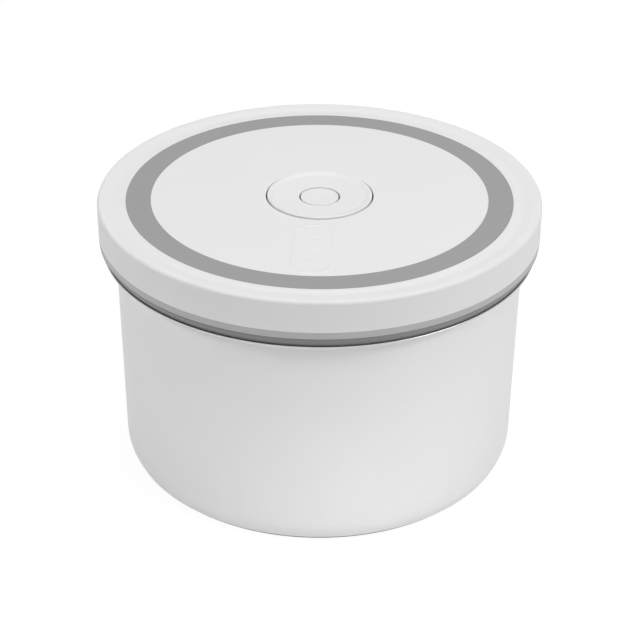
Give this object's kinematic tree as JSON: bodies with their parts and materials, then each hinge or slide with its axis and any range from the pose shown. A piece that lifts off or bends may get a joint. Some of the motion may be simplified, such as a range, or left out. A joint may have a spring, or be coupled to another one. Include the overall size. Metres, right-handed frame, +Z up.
{
  "type": "vacuum seal canister",
  "caption": "Round coated-steel food canister with a lift-off lid, a built-in press pump in the middle of the lid and a small release button in the pump button.",
  "frame": {"origin": "on the table, under the centre of the pot", "axes": "+Z up along the pot's axis, the relief on the lid towards -Y, which is the front"},
  "size_m": [0.18, 0.18, 0.1156],
  "materials": {
    "coated_steel": "white powder coat outside, satin stainless steel inside",
    "white_plastic": "fine satin moulded white",
    "grey_plastic": "satin moulded light grey",
    "grey_rubber": "matt grey",
    "grey_silicone": "soft satin grey",
    "clear_silicone": "milky translucent",
    "bright_steel": "bright stainless wire"
  },
  "bodies": {
    "canister": {"canister_pot": "coated_steel", "foot_ring": "grey_rubber"},
    "lid": {"lid_cover": "white_plastic", "accent_ring": "grey_rubber", "inner_lid": "grey_plastic", "rim_seal": "grey_silicone", "pump_cylinder": "grey_plastic", "cylinder_gasket": "clear_silicone", "cylinder_screws": "bright_steel", "strainer_cap": "grey_plastic", "pump_spring": "bright_steel"},
    "check_valve": {"check_valve": "clear_silicone"},
    "pump": {"pump_button": "white_plastic", "piston": "grey_plastic", "piston_cup_seal": "clear_silicone", "tube_o_ring": "clear_silicone", "release_spring": "bright_steel"},
    "release": {"release_button": "white_plastic", "release_stem": "grey_plastic", "release_seal": "clear_silicone"}
  },
  "joints": [
    {"name": "lid_lift", "type": "slide", "parent": "canister", "child": "lid", "axis": [0, 0, 1], "range_m": [0, 0.15]},
    {"name": "pump_press", "type": "slide", "parent": "lid", "child": "pump", "axis": [0, 0, -1], "range_m": [0, 0.007], "stiffness_N_per_m": 1500, "springref_m": -0.008, "deforming": ["pump_spring"]},
    {"name": "release_press", "type": "slide", "parent": "pump", "child": "release", "axis": [0, 0, -1], "range_m": [0, 0.002], "stiffness_N_per_m": 800, "springref_m": -0.003, "deforming": ["release_spring"]},
    {"name": "check_valve_lift", "type": "slide", "parent": "lid", "child": "check_valve", "axis": [0, 0, 1], "range_m": [0, 0.0008]}
  ]
}
